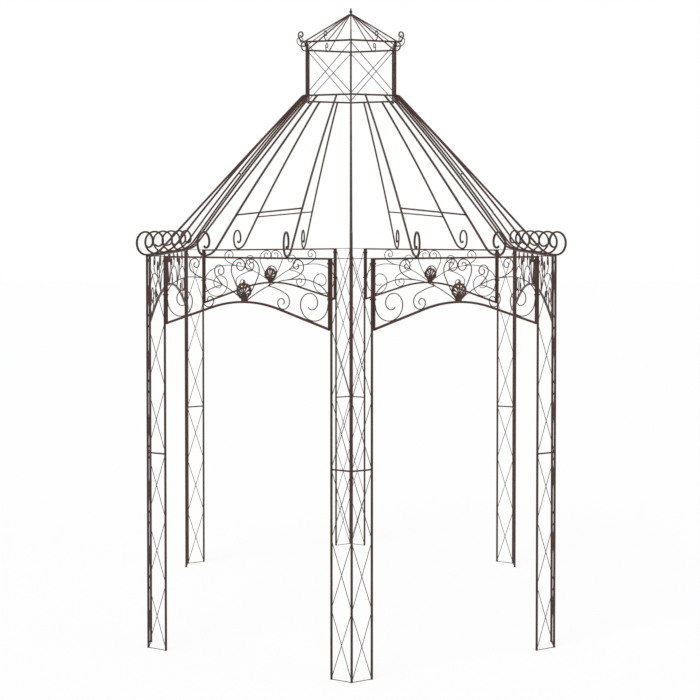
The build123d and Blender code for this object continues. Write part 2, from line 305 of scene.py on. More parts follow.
def square_section(size, rounding, steps=3):
    """A square whose corners are rounded by a share of its size."""
    radius = size * rounding
    middle = size / 2 - radius
    points = []
    for quarter in range(4):
        start = quarter * pi / 2
        cx = middle * (1 if quarter in (0, 3) else -1)
        cy = middle * (1 if quarter in (0, 1) else -1)
        for step in range(steps):
            angle = start + pi / 2 * step / (steps - 1)
            points.append((cx + radius * cos(angle), cy + radius * sin(angle)))
    return np.array(points)


def new_object(name, data):
    """An object that is in the scene."""
    item = bpy.data.objects.new(name, data)
    bpy.context.scene.collection.objects.link(item)
    return item


class Shells:
    """Closed shells of one piece, gathered into one mesh."""

    def __init__(self):
        self.points = []
        self.faces = []
        self.count = 0

    def add(self, points, faces):
        self.points.append(np.asarray(points, float))
        self.faces += [[self.count + i for i in face] for face in faces]
        self.count += len(points)

    def tube(self, path, side, section, scales=None):
        """A section carried along a path that lies square to side."""
        path = np.asarray(path, float)
        count, ring = len(path), len(section)
        tangents = np.empty_like(path)
        tangents[1:-1] = path[2:] - path[:-2]
        tangents[0] = path[1] - path[0]
        tangents[-1] = path[-1] - path[-2]
        tangents /= np.linalg.norm(tangents, axis=1)[:, None]
        across = np.cross(side, tangents)
        across /= np.linalg.norm(across, axis=1)[:, None]
        scales = np.ones(count) if scales is None else np.asarray(scales, float)
        size = scales[:, None, None]
        points = (
            path[:, None, :]
            + size * across[:, None, :] * section[None, :, 0, None]
            + size * np.asarray(side)[None, None, :] * section[None, :, 1, None]
        )
        faces = []
        for row in range(count - 1):
            for i in range(ring):
                j = (i + 1) % ring
                low, high = row * ring, (row + 1) * ring
                faces.append([low + i, low + j, high + j, high + i])
        faces.append(list(range(ring))[::-1])
        faces.append([(count - 1) * ring + i for i in range(ring)])
        self.add(points.reshape(-1, 3), faces)

    def turned(self, profile, place, side, section):
        """A form whose profile gives ways along it and scales of its section."""
        path = [place(way) for way, _ in profile]
        self.tube(path, side, section, [scale for _, scale in profile])

    def bar(self, start, end, side, section):
        """A straight bar whose ends have a small chamfer."""
        start, end = np.asarray(start, float), np.asarray(end, float)
        way = (end - start) / np.linalg.norm(end - start)
        lip = way * bar_chamfer
        self.tube([start, start + lip, end - lip, end], side, section, (0.9, 1, 1, 0.9))

    def scroll(self, path, side, section, size):
        """A bent bar whose far end is forged to a small rounded tip."""
        path = [np.asarray(point, float) for point in path]
        way = path[-1] - path[-2]
        way /= np.linalg.norm(way)
        ends = [path[-1] + way * size * share for share, _ in scroll_tip]
        scales = [1.0] * len(path) + [scale for _, scale in scroll_tip]
        self.tube(path + ends, side, section, scales)

    def bead(self, centre, radius, way, stretch, rings=5, sides=8):
        """A small uneven lump of weld metal, drawn out along a way."""
        way = np.asarray(way, float) / np.linalg.norm(way)
        other = np.cross(way, bead_skew)
        other /= np.linalg.norm(other)
        third = np.cross(way, other)
        points, faces = [], []
        for row in range(1, rings):
            polar = pi * row / rings
            for i in range(sides):
                angle = 2 * pi * i / sides
                lump = radius * rng.uniform(*bead_lumps)
                points.append(
                    centre
                    + way * lump * stretch * cos(polar)
                    + (other * cos(angle) + third * sin(angle)) * lump * sin(polar)
                )
        for row in range(rings - 2):
            for i in range(sides):
                j = (i + 1) % sides
                low, high = row * sides, (row + 1) * sides
                faces.append([low + i, high + i, high + j, low + j])
        faces.append(list(range(sides)))
        faces.append([(rings - 2) * sides + i for i in range(sides)][::-1])
        self.add(points, faces)

    def sheet(self, front, back):
        """A closed plate between two grids of points."""
        front, back = np.asarray(front, float), np.asarray(back, float)
        rows, columns = front.shape[:2]
        size = rows * columns
        faces = []
        for r in range(rows - 1):
            for c in range(columns - 1):
                low, high = r * columns + c, (r + 1) * columns + c
                quad = [low, low + 1, high + 1, high]
                faces.append(quad)
                faces.append([size + i for i in reversed(quad)])
        rim = [(0, c) for c in range(columns)]
        rim += [(r, columns - 1) for r in range(1, rows)]
        rim += [(rows - 1, c) for c in range(columns - 2, -1, -1)]
        rim += [(r, 0) for r in range(rows - 2, 0, -1)]
        loop = [r * columns + c for r, c in rim]
        for i, a in enumerate(loop):
            b = loop[(i + 1) % len(loop)]
            faces.append([b, a, size + a, size + b])
        self.add(np.concatenate([front.reshape(-1, 3), back.reshape(-1, 3)]), faces)

    def build(self, name, material, nodes=()):
        """Make the finished object, which rides on the root body."""
        mesh = bpy.data.meshes.new(name)
        mesh.from_pydata(np.concatenate(self.points).tolist(), [], self.faces)
        mesh.materials.append(material)
        mesh.polygons.foreach_set("use_smooth", [True] * len(mesh.polygons))
        mesh.update()
        piece = new_object(name, mesh)
        mesh.set_sharp_from_angle(angle=radians(sharp_from))
        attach(piece, "root")
        if nodes:
            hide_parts(*nodes)


# Arcs in a panel
def advance(angle, arcs):
    """How far tangent arcs go in X and Z, and the angle they end at."""
    run = rise = 0
    for radius, turn in arcs:
        side = 1 if turn > 0 else -1
        first, last = radians(angle), radians(angle + turn)
        run += side * radius * (sin(last) - sin(first))
        rise += side * radius * (cos(first) - cos(last))
        angle += turn
    return run, rise, angle


def arcs_end(start, angle, arcs, unit):
    """The point that tangent arcs lead to."""
    run, rise, _ = advance(angle, arcs)
    return (start[0] + run * unit, start[1] + rise * unit)


def arc_points(start, angle, arcs, unit, step=7.5, longest=0.06):
    """Points close together along tangent arcs."""
    points = [start]
    for share, turn in arcs:
        radius = share * unit
        runs = max(2, ceil(abs(turn) / step), ceil(radius * radians(abs(turn)) / longest))
        for _ in range(runs):
            run, rise, angle = advance(angle, ((radius, turn / runs),))
            points.append((points[-1][0] + run, points[-1][1] + rise))
    return points


def arc_to(start, angle, end):
    """Radius and turn of the arc that leaves start at an angle and meets end."""
    chord = degrees(atan2(end[1] - start[1], end[0] - start[0]))
    turn = 2 * (chord - angle)
    return length_between(start, end) / (2 * abs(sin(radians(turn / 2)))), turn


class Arch:
    """Centre line of a frieze's lower bar: a crown arc and two straight legs.

    The radius of the arc follows from the rise and from the slope of the legs.
    """

    def __init__(self, half, rise, slope):
        turn = radians(slope)
        self.radius = (half * tan(turn) - rise) / (tan(turn) * sin(turn) - 1 + cos(turn))
        self.half = half
        self.turn = turn
        self.slope = slope
        self.crown = post_height - spring_drop + rise
        self.knee = self.radius * sin(turn)

    def height(self, x, above=0.0):
        """Height at x of the line that runs a given way above the arch."""
        radius = self.radius + above
        if abs(x) < radius * sin(self.turn):
            return self.crown - self.radius + sqrt(radius**2 - x**2)
        knee_height = self.crown - self.radius * (1 - cos(self.turn))
        return knee_height + above / cos(self.turn) - (abs(x) - self.knee) * tan(self.turn)

    def points(self, steps=16):
        """Points from leg to leg, close together on the crown."""
        runs = [self.knee * step / steps for step in range(steps + 1)] + [self.half]
        right = [(x, self.height(x)) for x in runs]
        return [(-x, z) for x, z in right[:0:-1]] + right


def stem_top():
    """The quarter turn that takes a stem from its rise up to the rail."""
    arcs = stem_to_fork + stem_to_branch + stem_rise
    return (1 - advance(stem_angle, arcs)[1], 90)


def heart_top(unit):
    """The two quarter turns that take a heart's side over to its twin."""
    run, rise, _ = advance(heart_angle, heart_rise)
    over = 1 - rise
    touch = (scroll_bar - weld) / 2 / unit
    return ((over, 90), (heart_root + run - over - touch, 90))


def seated_leaf(arch, fork, unit):
    """The unit that brings the foot of a leaf's curl down on to the arch."""
    run, rise, _ = advance(leaf_angle, leaf_rise)
    near = (frame_bar + scroll_bar) / 2 - weld
    low, high = 0, 3 * unit
    for _ in range(40):
        middle = (low + high) / 2
        if fork[1] + rise * middle > arch.height(fork[0] + run * middle, near):
            low = middle
        else:
            high = middle
    return middle


def branch_points(start, angle, reach):
    """The long branch from a stem over to the point it reaches."""
    run, _, last_angle = advance(angle, branch_arcs)
    unit = branch_share * (reach[0] - start[0]) / run
    points = arc_points(start, angle, branch_arcs, unit)
    last_arc = arc_to(points[-1], last_angle, reach)
    return points[:-1] + arc_points(points[-1], last_angle, (last_arc,), 1)


def scroll_room(arch, root):
    """The height that scrolls start from, and the way up to the rail."""
    floor = arch.height(root, frame_bar / 2 - weld)
    return floor, post_height - rail_bar - scroll_bar / 2 + weld - floor


def scroll_group(arch, root, reach):
    """Scrolls that spring from one root on the arch, and their weld spots."""
    floor, unit = scroll_room(arch, root)
    lower = arc_points((root + stem_root * unit, floor), stem_angle, stem_to_fork, unit)
    fork = lower[-1]
    fork_angle = advance(stem_angle, stem_to_fork)[2]
    upper = arc_points(fork, fork_angle, stem_to_branch, unit)
    branch = upper[-1]
    branch_angle = advance(fork_angle, stem_to_branch)[2]
    to_rail = stem_rise + (stem_top(),)
    curl = arc_points(branch, branch_angle, to_rail + stem_curl, unit)
    heart_start = (root + heart_root * unit, floor)
    heart = heart_rise + heart_top(unit)
    leaf_unit = seated_leaf(arch, fork, unit)
    curled = [
        lower + upper[1:] + curl[1:],
        arc_points(heart_start, heart_angle, heart + heart_curl, unit),
        arc_points(fork, sprig_angle, sprig_arcs, unit),
        arc_points(fork, leaf_angle, leaf_rise + leaf_curl, leaf_unit),
    ]
    welds = [
        (arcs_end(branch, branch_angle, to_rail, unit), "rail"),
        (arcs_end(heart_start, heart_angle, heart[:-1], unit), "rail"),
        (arcs_end(fork, leaf_angle, leaf_rise, leaf_unit), "arch"),
        (fork, "fork"),
        (branch, "fork"),
        (heart_start, "arch"),
        (lower[0], "arch"),
    ]
    return curled, branch_points(branch, branch_angle, reach), welds


def corner_scroll(arch, edge):
    """The large scroll that runs down the end bar and rests on the arch."""
    (radius, turn), *rest = corner_curl
    down_to_arch = corner_rise + ((radius, -arch.slope),)
    run, rise, _ = advance(-90, down_to_arch)
    start = edge - scroll_bar / 2 + weld
    near = (frame_bar + scroll_bar) / 2 - weld
    touch_x = start + run * corner_radius
    top = arch.height(touch_x, near) - rise * corner_radius
    arcs = (*down_to_arch, (radius, turn + arch.slope), *rest)
    welds = [((start, top), "end"), ((touch_x, top + rise * corner_radius), "arch")]
    return arc_points((start, top), -90, arcs, corner_radius), welds


def bay_arch(bay, span):
    """The arch of a bay, and where its groups of scrolls have their roots."""
    half = span / 2 - lattice_width - post_tube / 2 - bolt_gap - frame_bar / 2
    if is_side(bay):
        return Arch(half, side_arch_rise, side_arch_slope), side_roots
    return Arch(half, end_arch_rise, end_arch_slope), end_roots


# Coat of the iron: scale and detail of each noise, the stretch of a noise that
# is used, and the roughness that it gives
mottle_noise = (14, 5)
speckle_noise = (190, 6)
grain_noise = (900, 3)
noise_roughness = 0.6
mottle_stretch = (0.38, 0.64)
rubbed_stretch = (0.56, 0.74)
gloss_stretch = (0.3, 0.7)
coat_roughness = (0.36, 0.58)
coat_specular = 0.2
grain_height = 0.0006


def open_nodes(owner):
    """The nodes and the links of a material or a world."""
    owner.use_nodes = True
    return owner.node_tree.nodes, owner.node_tree.links


def set_inputs(node, values):
    for name, value in values.items():
        node.inputs[name].default_value = value


def mix_colours(nodes, links, factor, first, second):
    """A colour mix, whose inputs may be sockets or colours."""
    mix = nodes.new("ShaderNodeMix")
    mix.data_type = "RGBA"
    sockets = [s for s in mix.inputs if s.type == "RGBA"]
    for socket, value in zip(sockets, (first, second)):
        if isinstance(value, bpy.types.NodeSocket):
            links.new(value, socket)
        else:
            socket.default_value = (*value, 1)
    links.new(factor, mix.inputs["Factor"])
    return next(s for s in mix.outputs if s.type == "RGBA")


def noise(nodes, links, coordinates, scale, detail):
    node = nodes.new("ShaderNodeTexNoise")
    set_inputs(node, {"Scale": scale, "Detail": detail, "Roughness": noise_roughness})
    links.new(coordinates, node.inputs["Vector"])
    return node.outputs["Fac"]


def spread(nodes, links, value, stretch, target):
    """A value moved from one stretch to another, held at its ends."""
    node = nodes.new("ShaderNodeMapRange")
    names = ("From Min", "From Max", "To Min", "To Max")
    set_inputs(node, dict(zip(names, (*stretch, *target))))
    links.new(value, node.inputs["Value"])
    return node.outputs["Result"]


def iron_material(name, base, shade, rubbed, rubbing, grain):
    """Brown coat on iron: mottled, rubbed bright in spots, finely grained."""
    material = bpy.data.materials.new(name)
    nodes, links = open_nodes(material)
    shader = nodes["Principled BSDF"]
    coordinates = nodes.new("ShaderNodeTexCoord").outputs["Object"]
    mottle = noise(nodes, links, coordinates, *mottle_noise)
    mottle = spread(nodes, links, mottle, mottle_stretch, (0, 1))
    speckle = noise(nodes, links, coordinates, *speckle_noise)
    spots = spread(nodes, links, speckle, rubbed_stretch, (0, rubbing))
    colour = mix_colours(nodes, links, mottle, shade, base)
    colour = mix_colours(nodes, links, spots, colour, rubbed)
    links.new(colour, shader.inputs["Base Color"])
    roughness = spread(nodes, links, speckle, gloss_stretch, coat_roughness)
    links.new(roughness, shader.inputs["Roughness"])
    bump = nodes.new("ShaderNodeBump")
    set_inputs(bump, {"Strength": grain, "Distance": grain_height})
    links.new(noise(nodes, links, coordinates, *grain_noise), bump.inputs["Height"])
    links.new(bump.outputs["Normal"], shader.inputs["Normal"])
    shader.inputs["Specular IOR Level"].default_value = coat_specular
    return material


tube_iron = iron_material(
    "tube_iron",
    base=(0.076, 0.034, 0.023),
    shade=(0.050, 0.023, 0.016),
    rubbed=(0.135, 0.075, 0.048),
    rubbing=0.4,
    grain=0.25,
)
bar_iron = iron_material(
    "bar_iron",
    base=(0.072, 0.034, 0.023),
    shade=(0.047, 0.023, 0.016),
    rubbed=(0.125, 0.072, 0.048),
    rubbing=0.4,
    grain=0.25,
)
wire_iron = iron_material(
    "wire_iron",
    base=(0.078, 0.055, 0.044),
    shade=(0.056, 0.040, 0.032),
    rubbed=(0.13, 0.095, 0.075),
    rubbing=0.3,
    grain=0.15,
)
cast_iron = iron_material(
    "cast_iron",
    base=(0.095, 0.048, 0.028),
    shade=(0.034, 0.018, 0.012),
    rubbed=(0.30, 0.19, 0.12),
    rubbing=0.8,
    grain=0.5,
)

tube_section = round_section(post_tube, sides=20)
wire_section = round_section(wire, sides=8)
frame_section = square_section(frame_bar, rounding=0.15)
rail_section = square_section(rail_bar, rounding=0.15)
scroll_section = square_section(scroll_bar, rounding=0.28)
rafter_section = square_section(rafter_bar, rounding=0.16)


# Posts
def tube_profile(height):
    """Heights and shares of the diameter up a tube: chamfered foot, domed plug."""
    foot = ((0, 0.97), (0.0008, 1))
    plug = ((height - 0.0035, 1), (height - 0.0034, 0.93), (height - 0.0016, 0.9), (height, 0.55))
    return foot + plug


def upright_tube(shells, point):
    x, y = point
    shells.turned(tube_profile(post_height), lambda z: (x, y, z), (1, 0, 0), tube_section)


def corner_tube(index):
    shells = Shells()
    upright_tube(shells, corners[index])
    name = corner_names[index]
    shells.build(f"{name}_round_corner_tube", tube_iron, [f"{name}_post_corner_tube"])


def lattice_name(post, bay):
    """What the side of a post that lies in a bay is called."""
    if is_side(bay):
        return f"{post}_post_side_lattice"
    if post in ("front", "back"):
        side = "right" if "right" in bay else "left"
        return f"{post}_post_{side}_lattice"
    return f"{post}_post_end_lattice"


def add_level_bar(shells, panel, height, section):
    """A level bar between the two tubes of a flat side."""
    inner = post_tube / 2 - weld
    first, last = panel.point(inner, height), panel.point(lattice_width - inner, height)
    shells.bar(first, last, panel.inward, section)


def lattice_tube(panel, node):
    """Side tube of a flat side of a post, and the bar at half its height."""
    shells = Shells()
    upright_tube(shells, panel.point(lattice_width, 0)[:2])
    middle = post_height / 2
    add_level_bar(shells, panel, middle, square_section(mid_bar, rounding=0.15))
    for x in (post_tube / 2, lattice_width - post_tube / 2):
        for side in (1, -1):
            spot = panel.point(x, middle + side * mid_bar / 2)
            shells.bead(spot, bar_bead, panel.inward, stretch=1.5)
    shells.build(f"{node}_side_tube", tube_iron, [node])


def add_lattice_cross(shells, panel, low, high):
    """Two crossed wires between the tubes of a flat side, with their welds."""
    inner = post_tube / 2 - weld
    depth = wire / cross_press
    for z0, z1, offset in ((low, high, -depth), (high, low, depth)):
        slope = (z1 - z0) / lattice_width
        first = panel.point(inner, z0 + slope * inner, offset)
        last = panel.point(lattice_width - inner, z1 - slope * inner, offset)
        shells.bar(first, last, panel.inward, wire_section)
        for spot in (first, last):
            shells.bead(spot, wire_bead, up, stretch=1.6)
    crossing = panel.point(lattice_width / 2, (low + high) / 2)
    shells.bead(crossing, cross_bead, panel.inward, stretch=1.3)


def lattice_wires(panel, node):
    """Foot wire, head wire and crosses of a flat side of a post."""
    shells = Shells()
    for height in (wire / 2, post_height - wire / 2):
        add_level_bar(shells, panel, height, wire_section)
    cell = post_height / (2 * crosses_per_half)
    for row in range(2 * crosses_per_half):
        add_lattice_cross(shells, panel, row * cell + wire, (row + 1) * cell - wire)
    shells.build(f"{node}_wires", wire_iron)


def lattice_side(start, end, node):
    """One flat side of a post, from its corner towards the next post."""
    panel = Panel(start, end)
    lattice_tube(panel, node)
    lattice_wires(panel, node)


def posts():
    for index in range(len(corners)):
        corner_tube(index)
    for index, bay in enumerate(bay_names):
        a, b = bay_ends(corners, index)
        near, far = bay_ends(corner_names, index)
        lattice_side(a, b, lattice_name(near, bay))
        lattice_side(b, a, lattice_name(far, bay))


# Friezes
def add_frieze_frame(shells, panel, arch):
    """Rail, end bars and arch of a frieze."""
    outer = arch.half + frame_bar / 2
    rail = post_height - rail_bar / 2
    shells.bar(panel.point(-outer, rail), panel.point(outer, rail), panel.inward, rail_section)
    spring = arch.height(arch.half)
    for side in (-1, 1):
        x = side * arch.half
        foot, head = panel.point(x, spring - frame_bar / 2), panel.point(x, rail)
        shells.bar(foot, head, panel.inward, frame_section)
        for z in (spring + frame_bar / 2, post_height - rail_bar):
            spot = panel.point(x - side * frame_bar / 2, z)
            shells.bead(spot, frame_bead, panel.inward, stretch=1.8)
    shells.tube(panel.path(arch.points()), panel.inward, frame_section)


# How far above or below a scroll's middle its weld to each thing lies
weld_offsets = {"rail": scroll_bar / 2, "arch": -scroll_bar / 2, "end": 0, "fork": 0}


def add_scrolls(shells, panel, arch, roots):
    """Every scroll and its twin on the other side, with their welds."""
    edge = arch.half - frame_bar / 2
    reaches = [(edge * share, arch.height(edge * share)) for share in roots[1:]]
    reaches.append((edge + weld, post_height - branch_fall))
    corner, welds = corner_scroll(arch, edge)
    curled, plain = [corner], []
    for share, reach in zip(roots, reaches):
        group, branch, spots = scroll_group(arch, edge * share, reach)
        curled += group
        plain.append(branch)
        welds += spots + [(reach, "end")]
    for side in (-1, 1):
        for points in curled:
            path = panel.path([(side * x, z) for x, z in points])
            shells.scroll(path, panel.inward, scroll_section, scroll_bar)
        for points in plain:
            path = panel.path([(side * x, z) for x, z in points])
            shells.tube(path, panel.inward, scroll_section)
        for (x, z), place in welds:
            spot = panel.point(side * x, z + weld_offsets[place])
            shells.bead(spot, scroll_bead, panel.inward, stretch=1.25)


def add_heart_weld(shells, panel, arch):
    """The weld that joins the two curls of the middle heart."""
    floor, unit = scroll_room(arch, 0)
    _, rise, _ = advance(heart_angle, heart_rise + heart_top(unit))
    shells.bead(panel.point(0, floor + rise * unit), heart_bead, up, stretch=1.5)


def frieze(index):
    """Build the bars of one bay's frieze, and give its panel and its arch."""
    bay = bay_names[index]
    panel = bay_panel(corners, index)
    arch, roots = bay_arch(bay, length_between(*bay_ends(corners, index)))
    shells = Shells()
    add_frieze_frame(shells, panel, arch)
    add_scrolls(shells, panel, arch, roots)
    add_heart_weld(shells, panel, arch)
    shells.build(f"{bay}_scroll_frieze", bar_iron, [f"{bay}_frieze"])
    return panel, arch


def add_bolt(shells, panel, x, z, way):
    """A hexagon bolt through the end bar into the side tube, with its nut."""
    hexagon = round_section(bolt_width, sides=6)
    run = panel.run * way
    inner = panel.point(x, z) - run * frame_bar / 2
    outer = panel.point(x, z) + run * (frame_bar / 2 + bolt_gap + post_tube)
    shells.turned(bolt_head, lambda offset: inner - run * offset, panel.inward, hexagon)
    shells.turned(bolt_nut, lambda offset: outer + run * offset, panel.inward, hexagon)


# Palmettes
def fan_edge(angle):
    """How far the scalloped edge is from the fan's centre, by angle."""
    spacing = 2 * fan_spread / (fan_ribs - 1)
    lobe = abs(cos(pi * angle / spacing))
    narrowing = fan_narrowing * (abs(angle) / 90) ** fan_roundness
    return fan_reach - narrowing + scallop_height * lobe


def fan_point(panel, base, angle, radius, proud):
    """A point of the fan, by its angle and how far it stands out."""
    x = radius * sin(radians(angle))
    z = base + fan_centre + radius * cos(radians(angle))
    return panel.point(x, z, -frame_bar / 2 - proud)


def fan_rim(shells, panel, base):
    """The thick scalloped edge of the fan."""
    path, scales = [], []
    for angle in np.linspace(-fan_wrap, fan_wrap, rim_steps):
        path.append(fan_point(panel, base, angle, fan_edge(angle) - rim_width / 2, rim_proud))
        grown = min(1, (fan_wrap - abs(angle)) / rim_taper)
        scales.append(rim_end + (1 - rim_end) * grown)
    section = square_section(1, rounding=0.35) * np.array((rim_width, rim_depth))
    shells.tube(path, panel.inward, section, scales)


def fan_rib(shells, panel, base, angle, rows=13, columns=7):
    """One ridged rib, from the hub out to the middle of its scallop."""
    reach = fan_edge(angle) - rim_width * rib_stop
    spacing = radians(2 * fan_spread / (fan_ribs - 1))
    front, back = [], []
    for share in np.linspace(0, 1, rows):
        radius = rib_start + (reach - rib_start) * share
        half = radius * spacing * rib_share + rib_margin
        proud = rib_proud + fan_bulge * sin(pi * (bulge_start + bulge_run * share))
        line_front, line_back = [], []
        for across in np.linspace(-1, 1, columns):
            turned = angle + degrees(across * half / radius)
            ridge = rib_ridge * (1 - across**2)
            line_front.append(fan_point(panel, base, turned, radius, proud + ridge))
            line_back.append(fan_point(panel, base, turned, radius, proud - rib_depth))
        front.append(line_front)
        back.append(line_back)
    shells.sheet(front, back)


def fan_crest(shells, panel, base):
    """The pointed bud at the top of the fan."""
    start = fan_edge(0) - crest_overlap
    radii = [start + crest_step * i for i in range(len(crest_widths))]
    path = [fan_point(panel, base, 0, radius, crest_proud) for radius in radii]
    shells.tube(path, panel.inward, oval_section(crest_flatness, sides=12), crest_widths)


def palmette_foot(shells, panel, base):
    """Turned foot with a waist, a collar and a swelling under the fan."""
    section = oval_section(foot_flatness, sides=24)
    start = panel.point(0, base, -frame_bar / 2 - foot_proud)
    shells.turned(foot_outline, lambda z: start + up * z, panel.inward, section)


def collar_leaf(shells, panel, base, side):
    """A small leaf that turns out and down from the collar."""
    start_x, start_z = collar_start
    path = []
    for share in np.linspace(0, 1, len(collar_widths)):
        x = side * (start_x + collar_reach * share)
        z = base + start_z + collar_rise * share - collar_fall * share**2
        path.append(panel.point(x, z, -frame_bar / 2 - collar_proud))
    shells.tube(path, panel.inward, oval_section(collar_flatness, sides=10), collar_widths)


def add_palmette(shells, panel, arch):
    """Pierced shell of seven ribs on a turned foot with two small leaves."""
    base = arch.crown + frame_bar / 2 - palmette_lap
    for angle in np.linspace(-fan_spread, fan_spread, fan_ribs):
        fan_rib(shells, panel, base, angle)
    fan_rim(shells, panel, base)
    fan_crest(shells, panel, base)
    palmette_foot(shells, panel, base)
    for side in (-1, 1):
        collar_leaf(shells, panel, base, side)


def friezes():
    """A frieze in every bay, and all palmettes and all bolts as one piece each."""
    bolts = Shells()
    palmettes = Shells()
    for index in range(len(bay_names)):
        panel, arch = frieze(index)
        add_palmette(palmettes, panel, arch)
        for side in (-1, 1):
            for drop in bolt_drops:
                add_bolt(bolts, panel, side * arch.half, post_height - drop, side)
    palmettes.build("cast_palmettes", cast_iron, ["arch_palmettes"])
    bolts.build("frieze_bolts", bar_iron)


# Roof
def slope_angles(run, drop, shoulder, flare, bow):
    """Mean angle below level of a bowed rod, and the length of its chord."""
    angle = atan2(drop, run)
    half = radians(bow) / 2
    for _ in range(30):
        chord_run = run - shoulder * sin(angle - half) - flare * sin(angle + half)
        chord_drop = drop - shoulder * (1 - cos(angle - half)) - flare * (1 - cos(angle + half))
        angle = atan2(chord_drop, chord_run)
    return degrees(angle), hypot(chord_run, chord_drop)


def rod_points(run, top, foot, flat, shoulder, flare, bow, seat, radius, curl):
    """A roof rod: level, down a bowed slope, level on its seat, curled up."""
    angle, chord = slope_angles(run - flat - seat / 2, top - foot, shoulder, flare, bow)
    bow_radius = chord / (2 * sin(radians(bow) / 2))
    arcs = ((shoulder, bow / 2 - angle), (bow_radius, -bow), (flare, angle + bow / 2))
    slope = arc_points((flat, top), 0, arcs, 1)
    return [(0, top)] + slope + arc_points((run + seat / 2, foot), 0, curl, radius)


def rafter_points(inner, outer, bow):
    return rod_points(
        run=length_between(inner, outer),
        top=lower_ring_height,
        foot=post_height + rafter_bar / 2,
        flat=shoulder_flat,
        shoulder=shoulder_radius,
        flare=flare_radius,
        bow=bow,
        seat=eave_seat,
        radius=curl_radius,
        curl=curl_arcs,
    )


def rafter_ends(index, share):
    """Where a rafter of a bay leaves the lantern's ring and crosses the eave."""
    inner = along(*bay_ends(lantern_corners, index), share)
    outer = along(*bay_ends(corners, index), share)
    return inner, outer


def add_rafter(shells, inner, outer, bow):
    """One rafter, from the face of the lantern's ring out over the eave."""
    panel = Panel(inner, outer)
    points = rafter_points(inner, outer, bow)
    points[0] = (lantern_bar / 2 - weld, points[0][1])
    shells.scroll(panel.path(points), panel.inward, rafter_section, rafter_bar)
    eave = length_between(inner, outer)
    for depth in (-rafter_bar / 2, rafter_bar / 2):
        at_ring = panel.point(lantern_bar / 2, lower_ring_height, depth)
        at_eave = panel.point(eave, post_height, depth)
        shells.bead(at_ring, rafter_bead, up, stretch=1.7)
        shells.bead(at_eave, rafter_bead, panel.run, stretch=1.9)


def rafters():
    for index, name in enumerate(corner_names):
        shells = Shells()
        add_rafter(shells, lantern_corners[index], corners[index], hip_bow)
        shells.build(f"{name}_curled_hip_rafter", bar_iron, [f"{name}_hip_rafter"])
    for index, bay in enumerate(bay_names):
        shells = Shells()
        shares = side_bay_rafters if is_side(bay) else end_bay_rafters
        for share in shares:
            add_rafter(shells, *rafter_ends(index, share), mid_bow)
        shells.build(f"{bay}_curled_rafters", bar_iron, [f"{bay}_rafters"])


# Lantern
def add_lantern_cross(shells, panel, half):
    """Two crossed wires between the posts and rings of the lantern."""
    section = round_section(lantern_wire, sides=8)
    low = lower_ring_height + lantern_bar / 2 + lantern_wire
    high = upper_ring_height - lantern_bar / 2 - lantern_wire
    slope = (high - low) / (2 * half)
    reach = half - lantern_bar / 2 + weld
    rest = slope * (half - reach)
    depth = lantern_wire / cross_press
    for way in (1, -1):
        first = panel.point(-reach * way, low + rest, -depth * way)
        last = panel.point(reach * way, high - rest, -depth * way)
        shells.bar(first, last, panel.inward, section)
        for spot in (first, last):
            shells.bead(spot, wire_bead, up, stretch=1.5)
    shells.bead(panel.point(0, (low + high) / 2), cross_bead, panel.inward, stretch=1.3)


def lantern_wires():
    shells = Shells()
    for index in range(len(lantern_corners)):
        half = length_between(*bay_ends(lantern_corners, index)) / 2
        add_lantern_cross(shells, bay_panel(lantern_corners, index), half)
    shells.build("lantern_round_wires", wire_iron, ["lantern_wire_crosses"])


def cap_rods(name, outers, size, node):
    """Rods of the lantern's roof, from the boss out over the upper ring."""
    shells = Shells()
    section = square_section(size, rounding=0.18)
    for outer in outers:
        panel = Panel((0, 0), outer)
        ring = length_between((0, 0), outer)
        points = rod_points(
            run=ring + cap_overhang,
            top=apex_height,
            foot=upper_ring_height + (lantern_bar + size) / 2 - cap_dip,
            flat=cap_flat,
            shoulder=cap_shoulder,
            flare=cap_flare,
            bow=cap_bow,
            seat=0,
            radius=cap_curl_radius,
            curl=cap_curl,
        )
        points[0] = (cap_flat - cap_inset, points[0][1])
        shells.scroll(panel.path(points), panel.inward, section, size)
        for depth in (-size / 2, size / 2):
            spot = panel.point(ring, upper_ring_height + lantern_bar / 2, depth)
            shells.bead(spot, cap_bead, panel.run, stretch=1.6)
    shells.build(name, bar_iron, [node])


def finial():
    """Turned boss at the peak with a ball and a blunt tip."""
    low = apex_height - boss_below
    high = apex_height + boss_above
    profile = [
        (low, boss_radius * 0.72),
        (low + 0.0006, boss_radius * 0.88),
        (low + 0.0025, boss_radius * 0.98),
        (low + 0.0045, boss_radius),
        (high - 0.0045, boss_radius),
        (high - 0.0025, boss_radius * 0.93),
        (high - 0.0005, boss_radius * 0.62),
        (high + 0.001, 0.0085),
        (high + 0.003, 0.0062),
    ]
    ball = high + finial_height * 0.38
    first, turn, steps = 0.16, 0.66, 8
    for step in range(steps + 1):
        angle = pi * (first + turn * step / steps)
        profile.append((ball - finial_ball * cos(angle), finial_ball * sin(angle)))
    profile += [
        (high + finial_height * 0.70, 0.0047),
        (high + finial_height * 0.78, 0.0052),
        (high + finial_height * 0.90, 0.0049),
        (high + finial_height * 0.97, 0.0036),
        (high + finial_height, 0.0015),
    ]
    shells = Shells()
    shells.turned(profile, lambda z: (0, 0, z), (1, 0, 0), round_section(2, sides=32))
    shells.build("turned_finial", cast_iron, ["peak_finial"])


def lantern_roof():
    middles = [along(*bay_ends(lantern_corners, index), 0.5) for index in range(len(bay_names))]
    cap_rods("lantern_curled_hip_rods", lantern_corners, cap_bar, "lantern_hip_rods")
    cap_rods("lantern_curled_middle_rods", middles, cap_middle_bar, "lantern_middle_rods")
    finial()


